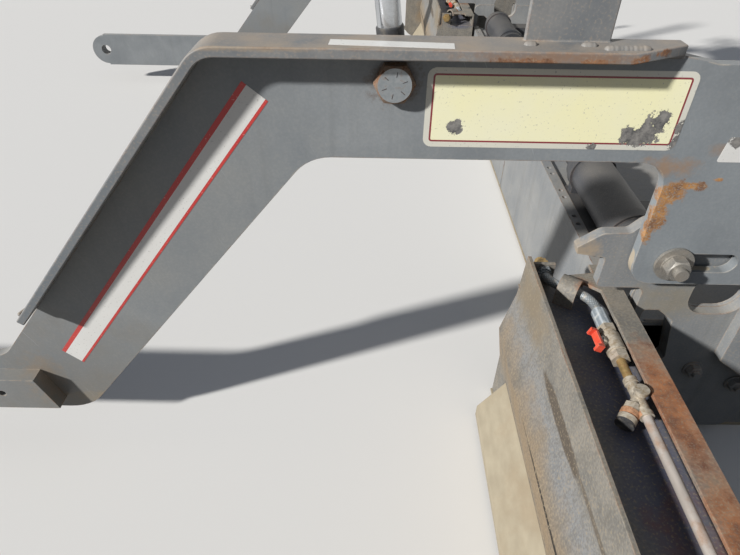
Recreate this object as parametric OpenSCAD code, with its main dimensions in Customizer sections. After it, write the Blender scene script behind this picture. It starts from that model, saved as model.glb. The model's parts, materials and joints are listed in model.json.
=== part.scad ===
// Screed unit of an asphalt paver: main screed, two sliding extensions, end gates,
// tow arms and lift cylinders. +X is the paving direction, +Y is left, +Z is up.
// Sizes are worked out on a line where x = 0 is the lift bolt of the tow arms.

/* [Main screed] */
// Paving width of the main screed
main_w = 2438; // [2000:10:2700]
// Depth of the main screed from front wall to rear wall
main_depth = 470; // [420:5:560]
// Height of the deck above the ground
deck_z = 345; // [300:5:370]
// Thickness of the wear plates that iron the mat
sole_t = 12; // [8:1:20]
// Thickness of the walls of the main frame
wall_t = 10; // [6:1:14]
// Distance from the lift bolt back to the front wall
main_front = 520; // [515:5:600]
// Gap between the two halves of the main screed
crown_gap = 8; // [4:1:20]

/* [Extensions] */
// Length of each sliding extension
ext_len = 1050; // [900:10:1150]
// How much of the extension still overlaps the main screed when it is run out
ext_lap = 100; // [60:5:200]
// Height of the front plate of the extension
ext_top_z = 455; // [400:5:470]
// Height of the tray floor that carries the gas line
tray_z = 380; // [340:5:390]
// Thickness of the front plate of the extension
board_t = 8; // [6:1:12]
// Diameter of the guide tubes that carry the extension
guide_d = 60; // [50:2:64]
// Length of the guide tubes
guide_len = 1150; // [1000:10:1170]
// Height of the upper guide tube's middle
guide_z = 205; // [195:1:212]
// Height of the lower guide tube's middle
guide_low_z = 85; // [75:1:95]

/* [End gates] */
// Thickness of the end gate
gate_t = 12; // [8:1:16]
// Height of the end gate
gate_h = 430; // [350:10:480]

/* [Tow arms] */
// Height of the top flange above the ground
arm_top_z = 950; // [900:5:1000]
// Depth of the level part of the arm
arm_depth = 190; // [170:5:220]
// Depth of the sloping part of the arm, measured square to it
slope_w = 235; // [200:5:260]
// Angle of the sloping part above the ground
slope_angle = 50; // [46:1:56]
// Thickness of the arm's plate
arm_t = 22; // [16:1:28]
// Width of the top flange
flange_w = 75; // [60:5:100]
// Thickness of the top flange
flange_t = 16; // [10:1:20]
// Height of the arm's lower edge above the ground
foot_z = 96; // [80:2:130]
// Height of the front part of the arm
foot_h = 170; // [150:5:200]
// Distance from the lift bolt forward to the tow pin
tow_x = 1600; // [1400:10:1800]
// Diameter of the tow pin's bore
tow_bore = 51; // [40:1:60]
// Diameter of the lift bolt
lift_bolt_d = 38; // [30:1:44]
// Length of the slot that holds the screed on the arm
slot_len = 143; // [120:1:160]
// Height of that slot
slot_h = 42; // [36:1:48]

/* [Lift cylinders] */
// Outer diameter of the barrel
barrel_d = 70; // [60:1:80]
// Diameter of the rod
rod_d = 38; // [30:1:44]
// Length of the barrel
barrel_len = 380; // [320:5:420]
// Length of bright rod that shows
rod_out = 180; // [120:5:220]
// How far the cylinder leans towards the front
lean = 7.5; // [0:0.5:12]

/* [Walkway] */
// Depth of the walkway behind the screed
walk_depth = 330; // [250:10:400]
// Height of the walkway's surface
walk_z = 270; // [220:10:300]

/* [Hidden] */
SIDES = ["left", "right"];

steel_dark = "#55585c";
steel_grey = "#75787b";
steel_worn = "#8f8a80";
chrome = "#c9cdd2";
brass = "#a89a6a";
black = "#26282a";
red = "#d8402c";
$fn = 48;

fit = 0.5;                     // running clearance of a tube in its sleeve, all round
gap = 5;                       // clearance between pieces that pass each other
main_rear = main_front + main_depth;
half_w = main_w / 2;

// Tow arm
hanger_t = 24;
hanger_in = half_w;
hanger_out = hanger_in + hanger_t;
arm_in = hanger_out + gap;
arm_out = arm_in + arm_t;
flange_in = arm_in - 1;
lift_z = arm_top_z - 61;
knee_x = 285;
lobe_front = 468;
lobe_rear = 845;
lobe_bottom_z = 503;
lobe_top_z = arm_top_z - 28;
pivot_x = -542;
pivot_z = 554;
pivot_d = slot_h - 2;
screw_x = -880;
screw_d = 32;
tow_z = foot_z + foot_h / 2;
tow_eye_r = 78;
bar_t = 35;
bar_h = 100;
box_z = arm_top_z - 95;         // the control box, below the sweep of the depth screw's handles
box_h = 190;

// Extension
ext_in = half_w - ext_lap;
ext_out = ext_in + ext_len;
ext_rear = main_front - 14;    // the rear wall of the extension stands clear of the main screed
ext_edge_z = ext_top_z - 20;
board_front = 318;
gate_in = ext_out + gap;
gate_front = 190;
gate_rear = 1020;
gate_lift = 100;
guide_x = -(main_front + 54);  // the guide tubes lie inside the main screed, behind its front wall
sleeve_d = guide_d + 20;
beam_z = ext_top_z - 51;       // middle of the beam over the bulkhead, which holds the end gate
sleeve_in = half_w - 560;
bulkhead_t = 30;
jack_d = 24;
jack_x = [-(board_front + 90), -(gate_rear - 35)];
jack_y = ext_out - bulkhead_t - 26;
lug_z = beam_z + 62;          // underside of the end gate's top lugs

// Overall length, for the origin midway between front and rear
walk_rear = main_rear + 12 + walk_depth;
mid_x = ((tow_x + tow_eye_r) - walk_rear) / 2;

function unit(v) = v / norm(v);

// One corner of an outline: an arc of radius r that touches both of its edges.
function corner(a, p, b, r, n) =
    r <= 0 ? [p] :
    let (
        u = unit(a - p),
        w = unit(b - p),
        half = acos(u * w) / 2,
        c = p + unit(u + w) * r / sin(half),
        first = p + u * r / tan(half) - c,
        last = p + w * r / tan(half) - c,
        start = atan2(first.y, first.x),
        turn = ((atan2(last.y, last.x) - start + 540) % 360) - 180
    )
    [for (i = [0:n]) c + r * [cos(start + turn * i / n), sin(start + turn * i / n)]];

// An outline whose points are [x, z, radius].
function rounded(p, n = 6) = [
    for (i = [0:len(p) - 1])
        let (m = len(p), a = p[(i + m - 1) % m], b = p[(i + 1) % m])
        each corner([a.x, a.y], [p[i].x, p[i].y], [b.x, b.y], p[i][2], n)
];

module on_side(side) {
    translate([-mid_x, 0, 0]) mirror([0, side == "right" ? 1 : 0, 0]) children();
}

// An outline in x and z, drawn out from y0 to y1.
module along_y(y0, y1) {
    translate([0, y1, 0]) rotate([90, 0, 0]) linear_extrude(y1 - y0) children();
}

// A round bar along y.
module bar_y(x, z, d, y0, y1) {
    along_y(y0, y1) translate([x, z]) circle(d = d);
}

module block(x0, x1, y0, y1, z0, z1) {
    translate([x0, y0, z0]) cube([x1 - x0, y1 - y0, z1 - z0]);
}

module hex_y(x, z, across, y0, y1) {
    along_y(y0, y1) translate([x, z]) circle(d = across / cos(30), $fn = 6);
}

// A hexagon head whose outer corners are turned off. It grows from y0 along y, or back if grow is -1.
module bolt_head(x, z, across, y0, height, grow = 1) {
    corner_r = across / 2 / cos(30);
    translate([x, y0, z]) rotate([-90 * grow, 0, 0]) intersection() {
        cylinder(r = corner_r, h = height, $fn = 6);
        rotate_extrude() polygon([
            [0, 0], [corner_r + 1, 0], [corner_r + 1, height * 0.72], [across * 0.46, height], [0, height]
        ]);
    }
}

// Main screed

rib_y = [crown_gap / 2 + 300, half_w - 330];
strip_w = 32;

module main_frame() {
    front = -main_front;
    rear = -main_rear;
    inner = crown_gap / 2;
    color(steel_dark) difference() {
        union() {
            block(front - wall_t, front, inner, half_w, sole_t, deck_z);
            block(rear, rear + wall_t, inner, half_w, sole_t, deck_z);
            block(rear, front, inner, half_w, deck_z - wall_t, deck_z);
            for (y = concat([inner, half_w - wall_t], rib_y))
                block(rear, front, y, y + wall_t, sole_t, deck_z);
            // End wall, carried up to stiffen the hanger
            along_y(half_w - wall_t, half_w) polygon(rounded([
                [rear, sole_t, 0], [front, sole_t, 0], [front, deck_z + 120, 30],
                [rear + 60, deck_z + 120, 60], [rear, deck_z, 20]
            ]));
            // Bolting strip along the front edge of the deck
            block(front - strip_w, front, inner, half_w - wall_t, deck_z, deck_z + 12);
            // Lugs of the crown adjuster
            for (y = [inner + 40])
                along_y(y, y + 20) polygon(rounded([
                    [crown_x - 45, deck_z, 0], [crown_x + 45, deck_z, 0],
                    [crown_x + 30, crown_z + 30, 28], [crown_x - 30, crown_z + 30, 28]
                ]));
        }
        for (z = [guide_z, guide_low_z])
            bar_y(guide_x, z, sleeve_d, sleeve_in - 100, half_w + 1);
        // Way through the inner rib for the tubes when the extension is run in
        for (z = [guide_z, guide_low_z])
            bar_y(guide_x, z, guide_d + 12, inner + 100, sleeve_in);
        bar_y(cyl_x, cyl_z, cyl_d + 2 * seat, cyl_in - 60, half_w + 1);
        bar_y(crown_x, crown_z, 34, 0, 200);
        for (y = [inner + 60 : 145 : half_w - 60])
            for (dy = [0, 40])
                translate([front - strip_w / 2, y + dy, deck_z + 4]) cylinder(d = 13, h = 10);
        // Windows in the ribs and in the end wall
        for (y = rib_y)
            block(rear + 70, cyl_x - 50, y - 1, y + wall_t + 1, 60, deck_z - 50);
        along_y(half_w - wall_t - 1, half_w + 1) end_openings();
    }
}

// The window and the round-ended opening through the end wall and the hanger.
module end_openings() {
    front = -main_front;
    polygon(rounded([
        [front - 22, 262, 12], [front - 22, 411, 8], [front - 54, 411, 4], [front - 92, 382, 4],
        [front - 116, 262, 12]
    ], 4));
    polygon(rounded([
        [front - 106, 403, 42], [front - 106, 497, 30], [front - 226, 497, 30], [front - 226, 403, 42]
    ]));
}

crown_x = -(main_front + 190);
crown_z = deck_z + 75;

module main_sole() {
    color(steel_worn) along_y(crown_gap / 2, half_w) polygon(rounded([
        [-main_front + 4, sole_t, 0], [-main_rear - 6, sole_t, 0],
        [-main_rear - 6, 0, 0], [-main_front - 22, 0, 0], [-main_front + 4, 7, 0]
    ]));
}

module guide_sleeves() {
    color(steel_dark) for (z = [guide_z, guide_low_z])
        difference() {
            bar_y(guide_x, z, sleeve_d, sleeve_in, half_w);
            bar_y(guide_x, z, guide_d + 2 * fit, sleeve_in - 1, half_w + 4);
        }
}

cyl_x = guide_x - 86;
cyl_z = 130;
cyl_d = 56;
cyl_in = 230;
ext_rod_d = 30;
seat = 0.3;

// Barrel of the cylinder that moves the extension, with its ports
module ext_cylinder() {
    color(black) difference() {
        union() {
            bar_y(cyl_x, cyl_z, cyl_d, cyl_in, half_w);
            bar_y(cyl_x, cyl_z, 40, cyl_in - 26, cyl_in);
            for (y = [cyl_in + 40, half_w - 90])
                translate([cyl_x, y, cyl_z]) cylinder(d = 26, h = cyl_d / 2 + 14);
        }
        bar_y(cyl_x, cyl_z, ext_rod_d + 2 * fit, cyl_in + 20, half_w + 1);
    }
}

module crown_turnbuckle() {
    inner = crown_gap / 2 + 40;
    color(steel_grey) translate([-mid_x, 0, 0]) union() {
        bar_y(crown_x, crown_z, 34, -inner - 40, inner + 40);
        hex_y(crown_x, crown_z, 60, -inner + 2, inner - 2);
        for (s = [-1, 1])
            hex_y(crown_x, crown_z, 50, s * (inner + 32) - 12, s * (inner + 32) + 12);
    }
}

// Shaft housing on two feet, with the hydraulic motor that turns it and its two hose unions
module vibrator() {
    x = -(main_front + 92);
    z = deck_z + 72;
    in = 600;
    out = half_w - 205;
    color(black) union() {
        bar_y(x, z, 120, in, out);
        for (y = [in + 30, out - 60]) {
            bar_y(x, z, 132, y, y + 30);
            block(x - 52, x + 52, y, y + 30, deck_z, z - 30);
        }
        block(x - 60, x + 60, in + 10, out - 10, deck_z, deck_z + 10);
        hex_y(x, z, 84, in - 22, in);
        bar_y(x, z, 90, in - 120, in - 22);
        for (y = [in - 92, in - 52])
            translate([x, y, z]) rotate([0, -50, 0]) cylinder(d = 26, h = 64);
        // Terminal box with its cable gland
        block(x - 130, x - 52, out - 170, out - 90, z - 40, z + 24);
        block(x - 110, x - 60, out - 150, out - 110, deck_z, z - 39);
    }
}

module hanger() {
    top = pivot_z + 76;
    edge = -main_front - 4;
    over = ext_top_z + 15;         // clear of the extension that slides under the hanger's nose
    color(steel_dark) difference() {
        along_y(hanger_in, hanger_out) polygon(rounded([
            [edge, over, 14], [nose_x - 58, over, 10], [nose_x - 58, over + 74, 10],
            [nose_x, over + 82, 3], [nose_x + 3, over + 97, 4], [nose_x - 40, over + 130, 22],
            [nose_x - 90, over + 132, 12], [nose_x - 116, top, 30],
            [pivot_x - 90, top, 30], [pivot_x - 150, pivot_z - 20, 60],
            [screw_x + 90, pivot_z - 20, 50], [screw_x + 60, pivot_z + 36, 20],
            [-main_rear + 50, pivot_z + 36, 30], [-main_rear + 50, 250, 30],
            [-main_rear + 130, 30, 30], [edge, 30, 20]
        ]));
        for (z = [guide_z, guide_low_z])
            bar_y(guide_x, z, guide_d + 12, hanger_in - 1, hanger_out + 1);
        bar_y(cyl_x, cyl_z, ext_rod_d + 12, hanger_in - 1, hanger_out + 1);
        along_y(hanger_in - 1, hanger_out + 1) end_openings();
    }
}

// Stiffener on the hanger's outer face, below the arm, and the bolts to the end wall
module hanger_pad() {
    color(steel_dark) union() {
        along_y(hanger_out, hanger_out + 28) polygon(rounded([
            [-main_front - 218, 290, 3], [-main_front - 218, 462, 3], [-main_rear + 62, 462, 20],
            [-main_rear + 62, 196, 20], [-main_rear + 120, 196, 20]
        ]));
        for (p = [[main_front + 189, 237], [main_front + 303, 192]]) {
            bar_y(-p.x, p.y, 44, hanger_out, hanger_out + 4);
            bolt_head(-p.x, p.y, 30, hanger_out + 3, 15);
            bar_y(-p.x, p.y, 18, hanger_out + 17, hanger_out + 27);
        }
    }
}

nose_x = -368;

// Bolt that clamps the arm in its slot: head inside, bush, washer and nut outside.
module pivot_bolt() {
    color(steel_worn) union() {
        bolt_head(pivot_x, pivot_z, 60, hanger_in, 16, -1);
        bar_y(pivot_x, pivot_z, pivot_d, hanger_out, arm_out + 1);
        bar_y(pivot_x, pivot_z, 72, arm_out + 1, arm_out + 7);
        bar_y(pivot_x, pivot_z, 50, arm_out + 7, arm_out + 10);
        bolt_head(pivot_x, pivot_z, 42, arm_out + 10, 20);
        bar_y(pivot_x, pivot_z, 25, arm_out + 28, arm_out + 42);
    }
}

// Threaded block on the hanger that the depth screw works in.
module depth_nut() {
    color(steel_dark) difference() {
        along_y(hanger_out, arm_mid_y + 40) polygon(rounded([
            [screw_x - 42, pivot_z - 25, 0], [screw_x + 42, pivot_z - 25, 0],
            [screw_x + 42, pivot_z + 25, 0], [screw_x - 42, pivot_z + 25, 0]
        ]));
        translate([screw_x, arm_mid_y, pivot_z - 30]) cylinder(d = screw_d + 8, h = 60);
    }
}

arm_mid_y = arm_in + arm_t / 2;

module walkway() {
    front = -main_rear;
    rear = -walk_rear;
    inner = crown_gap / 2;
    outer = half_w - 60;
    pitch = 48;
    color(black) union() {
        for (x = [front - 18, rear + 0])
            block(x, x + 6, inner, outer, walk_z - 40, walk_z);
        block(front - 12, front, inner + 200, inner + 260, deck_z - 120, walk_z);
        block(front - 12, front, outer - 260, outer - 200, deck_z - 120, walk_z);
        for (y = [inner : pitch : outer - 6])
            block(rear, front - 12, y, y + 5, walk_z - 32, walk_z);
        for (x = [rear + 80 : 90 : front - 40])
            block(x, x + 8, inner, outer - 12, walk_z - 8, walk_z);
        block(rear, front - 12, outer - 6, outer, walk_z - 40, walk_z);
    }
}

module control_box_outline(x, wall) {
    low = box_z + wall;
    high = box_z + box_h - wall;
    polygon(rounded([
        [x - 90 + wall, low, 8], [x + 90 - wall, low, 8], [x + 90 - wall, high, 8],
        [x - 40, high, 8], [x - 90 + wall, high - 80, 8]
    ]));
}

module control_box() {
    x = -main_rear + 30;
    y = half_w - 160;
    color(steel_dark) difference() {
        union() {
            block(x - 25, x + 25, y - 25, y + 25, deck_z, box_z);
            block(x - 30, x + 60, y - 60, y + 60, deck_z, deck_z + 10);
            along_y(y - 150, y + 150) control_box_outline(x, 0);
        }
        along_y(y - 146, y + 146) control_box_outline(x, 4);
        block(x - 20, x + 20, y - 20, y + 20, deck_z + 12, box_z - 1);
    }
}

// Extension

// The front face of the bent front plate, from its top edge down.
board_face = [
    [-board_front, ext_top_z], [-board_front + 6, ext_top_z - 109],
    [-board_front + 30, ext_top_z - 219], [-board_front + 13, 140]
];
board_foot = board_face[3].x;

module front_plate_outline() {
    polygon(concat(
        board_face,
        [[board_foot, sole_t], [board_foot - board_t, sole_t]],
        [for (i = [3:-1:0]) board_face[i] - [board_t, 0]]
    ));
}

module ext_frame() {
    rear = -ext_rear;
    back = -board_front - board_t;
    color(steel_grey) difference() {
        union() {
            along_y(ext_in, ext_out) front_plate_outline();
            block(rear, rear + 8, ext_in, ext_out, sole_t, ext_edge_z);
            block(rear, rear + lip_w, ext_in, ext_out, ext_edge_z - 8, ext_edge_z);
            block(rear, back + 2, ext_in, ext_out, tray_z - 8, tray_z);
            for (y = [ext_in, ext_out - 10])
                along_y(y, y + 10) polygon([
                    [rear, sole_t], [board_foot - board_t, sole_t],
                    [board_foot - board_t, 140], board_face[2] - [board_t, 0],
                    board_face[1] - [board_t, 0], [back + 16, tray_z - 4], [rear, tray_z - 4]
                ]);
            // Plate that holds the gas line's inlet, and the loop that guides its hose
            block(inlet_x - 24, inlet_x + 24, ext_in, ext_in + 8, tray_z - 1, gas_z + 22);
            hose_loop();
            // Bulkhead that carries the guide tubes and the end gate
            along_y(ext_out - bulkhead_t, ext_out) polygon(rounded([
                [back, sole_t + 30, 0], [back, beam_z + 46, 0],
                [-gate_rear, beam_z + 46, 40], [-gate_rear, beam_z - 46, 40],
                [cyl_x - 60, beam_z - 76, 60], [cyl_x - 40, sole_t + 30, 30]
            ]));
            // Nut blocks of the end gate's jacks
            for (x = jack_x)
                block(x - 24, x + 24, jack_y - 24, ext_out - bulkhead_t + 1, beam_z - 10, beam_z + 30);
        }
        for (x = jack_x)
            translate([x, jack_y, beam_z - 11]) cylinder(d = jack_d + 2 * fit, h = 60);
        along_y(ext_in - 1, ext_in + 11) polygon(rounded([
            [rear + 30, 80, 30], [back - 6, 80, 30], [back - 6, 270, 30], [rear + 30, 270, 30]
        ]));
    }
}

lip_w = 48;

// Bent strap, welded to the lip of the rear wall, that the hose runs through.
module hose_loop() {
    edge = -ext_rear + lip_w;
    strap = 7;
    half = 21;
    mid = [(gas_x + inlet_x) / 2, (hose_start_y + hose_end_y) / 2];
    across = [cos(hose_turn), sin(hose_turn)] * half;
    along = [-sin(hose_turn), cos(hose_turn)] * half;
    translate([mid.x, mid.y, gas_z]) rotate([0, 0, hose_turn]) along_y(-half, half) {
        difference() {
            circle(r = hose_loop_r + strap);
            circle(r = hose_loop_r);
            translate([-60, -60]) square([120, 60]);
        }
        translate([hose_loop_r, -28]) square([strap, 29]);
    }
    translate([0, 0, ext_edge_z - 8]) linear_extrude(8) polygon([
        [edge - 1, mid.y - 40], mid - across - along, mid - across + along, [edge - 1, mid.y + 22]
    ]);
}

module ext_toe() {
    color(steel_worn) along_y(ext_in + 90, ext_out) polygon([
        [board_foot, 138], [board_foot, 112], [toe_x - 12, 43],
        [toe_x - 12, 14], [toe_x, 14], [toe_x, 47]
    ]);
}

toe_x = -board_front + 72;

module ext_sole() {
    color(steel_worn) along_y(ext_in, ext_out) polygon([
        [-ext_rear, sole_t], [-ext_rear, 0], [board_foot - 18, 0],
        [board_foot + 5, 7], [board_foot + 5, sole_t]
    ]);
}

module ext_rod() {
    outer = ext_out - bulkhead_t;
    color(chrome) bar_y(cyl_x, cyl_z, ext_rod_d, outer - ext_rod_len, outer);
}

ext_rod_len = ext_len - bulkhead_t + 9;

module ext_guides() {
    color(steel_worn) for (z = [guide_z, guide_low_z])
        difference() {
            bar_y(guide_x, z, guide_d, ext_out - bulkhead_t - guide_len, ext_out - bulkhead_t);
            bar_y(guide_x, z, guide_d - 16, ext_out - bulkhead_t - guide_len - 1, ext_out - bulkhead_t - 20);
        }
}

gas_x = -ext_rear + lip_w + 18;  // the gas line runs along the front of the rear wall's lip
gas_z = tray_z + 38;
inlet_x = gas_x + 82;
hose_loop_r = 22;
hose_d = 20;
hose_bend_r = 60;
hose_turn = 55;                 // angle of the hose's S bend
hose_mid = (inlet_x - gas_x - 2 * hose_bend_r * (1 - cos(hose_turn))) / sin(hose_turn);
hose_start_y = ext_in + 10;
hose_end_y = hose_start_y + 2 * hose_bend_r * sin(hose_turn) + hose_mid * cos(hose_turn);
ferrule_y = hose_end_y + 8;
ferrule_len = 52;
valve_y = ferrule_y + ferrule_len;
tee_y = valve_y + 176;

// Brass or steel turned parts on one line along y: each step is [length, diameter, sides].
module turned_y(x, z, y, steps, i = 0) {
    if (i < len(steps)) {
        length = steps[i][0];
        across = steps[i][1];
        if (steps[i][2] == 6)
            hex_y(x, z, across, y, y + length);
        else
            bar_y(x, z, across, y, y + length);
        turned_y(x, z, y + length, steps, i + 1);
    }
}

module gas_hose() {
    first = hose_bend_r * sin(hose_turn);
    color(black) union() {
        turned_y(inlet_x, gas_z, ext_in - 34, [[10, 22, 0], [12, 30, 6], [12, 36, 6]]);
        turned_y(inlet_x, gas_z, ext_in + 8, [[9, 32, 6], [5, 25, 0]]);
        translate([inlet_x - hose_bend_r, hose_start_y, gas_z])
            rotate_extrude(angle = hose_turn) translate([hose_bend_r, 0]) circle(d = hose_d);
        translate([inlet_x - hose_bend_r * (1 - cos(hose_turn)), hose_start_y + first, gas_z])
            rotate([-90, 0, hose_turn]) cylinder(d = hose_d, h = hose_mid);
        translate([gas_x + hose_bend_r, hose_end_y, gas_z]) rotate([0, 0, 180])
            rotate_extrude(angle = hose_turn) translate([hose_bend_r, 0]) circle(d = hose_d);
        bar_y(gas_x, gas_z, hose_d, hose_end_y, ferrule_y);
        turned_y(gas_x, gas_z, ferrule_y, [[4, 24, 0], [ferrule_len - 4, 30, 0]]);
    }
}

// Ball valve with its handle, nipple, tee and the regulator that hangs from the tee
module gas_valve() {
    color(brass) union() {
        turned_y(gas_x, gas_z, valve_y, [
            [16, 32, 6], [8, 30, 0], [44, 36, 0], [4, 32, 0], [16, 32, 6], [46, 17, 0], [10, 25, 0],
            [32, 21, 0], [32, 21, 0], [10, 25, 0]
        ]);
        translate([gas_x, valve_y + 46, gas_z]) rotate([0, 70, 0]) cylinder(d = 14, h = 34);
        translate([gas_x, tee_y, gas_z]) cylinder(d = 21, h = 20);
        translate([gas_x, tee_y, gas_z + 16]) cylinder(d = 25, h = 8);
        translate([gas_x, tee_y, gas_z]) rotate([0, 0, 52]) rotate([0, 102, 0]) union() {
            cylinder(d = 21, h = 22);
            translate([0, 0, 20]) cylinder(d = 29 / cos(30), h = 14, $fn = 6);
            translate([0, 0, 33]) cylinder(d = 33, h = 9);
            translate([0, 0, 41]) cylinder(d = 28, h = 6);
            translate([0, 0, 46]) cylinder(d = 33, h = 16);
        }
    }
    color(red) translate([gas_x, valve_y + 46, gas_z]) rotate([0, 70, 0]) union() {
        translate([-8, -24, 33]) cube([16, 48, 5]);
        for (s = [-1, 1])
            translate([-8, s * 22 - 3, 33]) cube([16, 6, 14]);
    }
}

module gas_line() {
    pipe_in = tee_y + 42;
    pipe_out = ext_out - bulkhead_t - 84;
    color(steel_grey) union() {
        bar_y(gas_x, gas_z, 17, pipe_in, pipe_out);
        bar_y(gas_x, gas_z, 27, pipe_out - 10, pipe_out + 26);
        translate([gas_x, pipe_out + 12, tray_z]) cylinder(d = 27, h = gas_z - tray_z);
    }
}

// End gate

module gate() {
    ski = 90;
    color(steel_grey) difference() {
        union() {
            along_y(gate_in, gate_in + gate_t) polygon(rounded([
                [-gate_front, 70, 60], [-gate_front, gate_h, 60], [-gate_rear, gate_h, 40],
                [-gate_rear, 8, 10], [-gate_front - 120, 8, 40]
            ]));
            along_y(gate_in, gate_in + ski) polygon([
                [-gate_front, 90], [-gate_front + 10, 90], [-gate_front - 105, 0], [-gate_rear, 0],
                [-gate_rear, 12], [-gate_front - 110, 12]
            ]);
            // Lugs over the bulkhead, held by the jacks
            for (x = jack_x) {
                block(x - 26, x + 26, gate_in, gate_in + gate_t, gate_h - 40, lug_z + 14);
                block(x - 26, x + 26, jack_y - 20, gate_in + gate_t, lug_z, lug_z + 14);
            }
        }
        for (x = jack_x)
            translate([x, jack_y, lug_z - 1]) cylinder(d = jack_d + 2 * fit, h = 20);
    }
}

module gate_jacks() {
    hub = lug_z + 14 + gate_lift + 20;
    color(steel_worn) for (x = jack_x) translate([x, jack_y, 0]) union() {
        translate([0, 0, beam_z - 10]) cylinder(d = jack_d, h = hub - beam_z + 20);
        translate([0, 0, beam_z + 30]) cylinder(d = 40, h = 12);
        translate([0, 0, hub]) cylinder(d = 34, h = 24);
        translate([-42, 0, hub + 12]) rotate([0, 90, 0]) cylinder(d = 12, h = 84);
    }
}

// Tow arm

slope_dir = [cos(slope_angle), -sin(slope_angle)];
slope_in = [-sin(slope_angle), -cos(slope_angle)];
function on_slope(z, off) = let (
    s = [knee_x, arm_top_z] + slope_in * off
) [s.x + (s.y - z) / tan(slope_angle), z];

arm_under_z = arm_top_z - arm_depth;
flange_end_z = 419;
foot_top_z = foot_z + foot_h;

module arm_plate_outline() {
    knee = on_slope(arm_top_z - flange_t, flange_t);
    end = on_slope(flange_end_z, flange_t);
    toe = on_slope(foot_top_z, flange_t);
    heel = on_slope(foot_z, slope_w);
    crook = on_slope(arm_under_z, slope_w);
    polygon(rounded([
        [-lobe_rear, lobe_top_z, 60], [-flange_rear - 60, lobe_top_z, 20],
        [-flange_rear, arm_top_z - flange_t, 0], [knee.x, knee.y, 44],
        [end.x, end.y, 0], [toe.x, toe.y, 60],
        [tow_x, foot_top_z, 0], [tow_x, foot_z, 0],
        [heel.x, heel.y, 110], [crook.x, crook.y, 80],
        [-lobe_front, arm_under_z, 50], [-lobe_front, lobe_bottom_z, 45],
        [-lobe_rear + 55, lobe_bottom_z, 60], [-lobe_rear, lobe_bottom_z + 200, 60]
    ]));
}

flange_rear = 425;
trunnion_z = lobe_top_z - 130;

module flange_outline() {
    knee_in = on_slope(arm_top_z - flange_t, flange_t);
    end_out = on_slope(flange_end_z, 0);
    end_in = end_out + slope_in * flange_t;
    polygon(rounded([
        [-flange_rear, arm_top_z, 0], [knee_x, arm_top_z, 60], [end_out.x, end_out.y, 0],
        [end_in.x, end_in.y, 0], [knee_in.x, knee_in.y, 44], [-flange_rear, arm_top_z - flange_t, 0]
    ]));
}

module arm() {
    color(steel_dark) difference() {
        union() {
            along_y(arm_in, arm_out) arm_plate_outline();
            along_y(arm_in, arm_out) translate([tow_x, tow_z]) circle(r = tow_eye_r);
        }
        // Slot for the pivot bolt
        along_y(arm_in - 1, arm_out + 1) slot_outline();
        bar_y(tow_x, tow_z, tow_bore, arm_in - 1, arm_out + 1);
    }
}

// The bent flange along the arm's upper edge, its rear end cut on the slant, and its upright lug
module arm_flange() {
    far = flange_in + flange_w;
    color(steel_dark) union() {
        difference() {
            along_y(flange_in, far) flange_outline();
            translate([0, 0, arm_top_z - flange_t - 1]) linear_extrude(flange_t + 2) polygon([
                [-flange_rear - 1, arm_out + 4], [-flange_rear - 1, far + 1], [-flange_rear + 95, far + 1]
            ]);
        }
        along_y(flange_in + 12, flange_in + 22) polygon(rounded([
            [-187, arm_top_z - 1, 0], [-187, arm_top_z + 150, 12],
            [-313, arm_top_z + 150, 12], [-313, arm_top_z - 1, 0]
        ]));
    }
}

module lift_bolt() {
    color(steel_worn) union() {
        bolt_head(0, lift_z, 56, arm_out, 22);
        bar_y(0, lift_z, lift_bolt_d, eye_y - 10, arm_in);
        bolt_head(0, lift_z, 54, eye_y - 2, 26, -1);
    }
}

// Block on the arm's rear edge, held by two cheeks, that the depth screw turns in
module depth_trunnion() {
    color(steel_dark) difference() {
        union() {
            block(screw_x - 40, -lobe_rear, arm_mid_y - 36, arm_mid_y + 36, trunnion_z, trunnion_z + 60);
            for (y = [arm_in - 10, arm_out])
                block(-lobe_rear - 1, -lobe_rear + 46, y, y + 10, trunnion_z, trunnion_z + 60);
        }
        translate([screw_x, arm_mid_y, trunnion_z - 1]) cylinder(d = screw_d + 2 * fit, h = 62);
    }
}

module slot_outline() {
    x0 = pivot_x - slot_len + slot_h / 2 + pivot_d / 2 + 1;
    translate([x0, pivot_z]) circle(d = slot_h);
    translate([pivot_x, pivot_z]) circle(d = slot_h);
    translate([x0, pivot_z - slot_h / 2]) square([pivot_x - x0, slot_h]);
}

module tow_bar() {
    color(steel_dark) difference() {
        along_y(arm_out, arm_out + bar_t) polygon(rounded([
            [775, tow_z + bar_h / 2 - 6, 0], [tow_x, tow_z + bar_h / 2 - 6, 0], [tow_x + 40, tow_z, 40],
            [tow_x, tow_z - bar_h / 2, 0], [745, tow_z - bar_h / 2, 0]
        ]));
        bar_y(tow_x, tow_z, tow_bore, arm_out - 1, arm_out + bar_t + 1);
        for (x = [860, 1150, 1440])
            bar_y(x, tow_z, 17, arm_out - 1, arm_out + bar_t + 1);
    }
}

module depth_screw() {
    color(steel_worn) translate([screw_x, arm_mid_y, 0]) union() {
        translate([0, 0, pivot_z - 60]) cylinder(d = screw_d, h = 1090 - pivot_z + 60);
        translate([0, 0, trunnion_z + 60.5]) cylinder(d = 56, h = 16);
        translate([0, 0, trunnion_z - 16.5]) cylinder(d = 56, h = 16);
        translate([0, 0, 1070]) cylinder(d = 50, h = 40);
        translate([-170, 0, 1090]) rotate([0, 90, 0]) cylinder(d = 22, h = 340);
        for (s = [-1, 1]) translate([s * 170, 0, 1075]) cylinder(d = 30, h = 120);
    }
}

// Lift cylinder

eye_w = 44;
eye_y = arm_in - 8 - eye_w;

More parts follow.
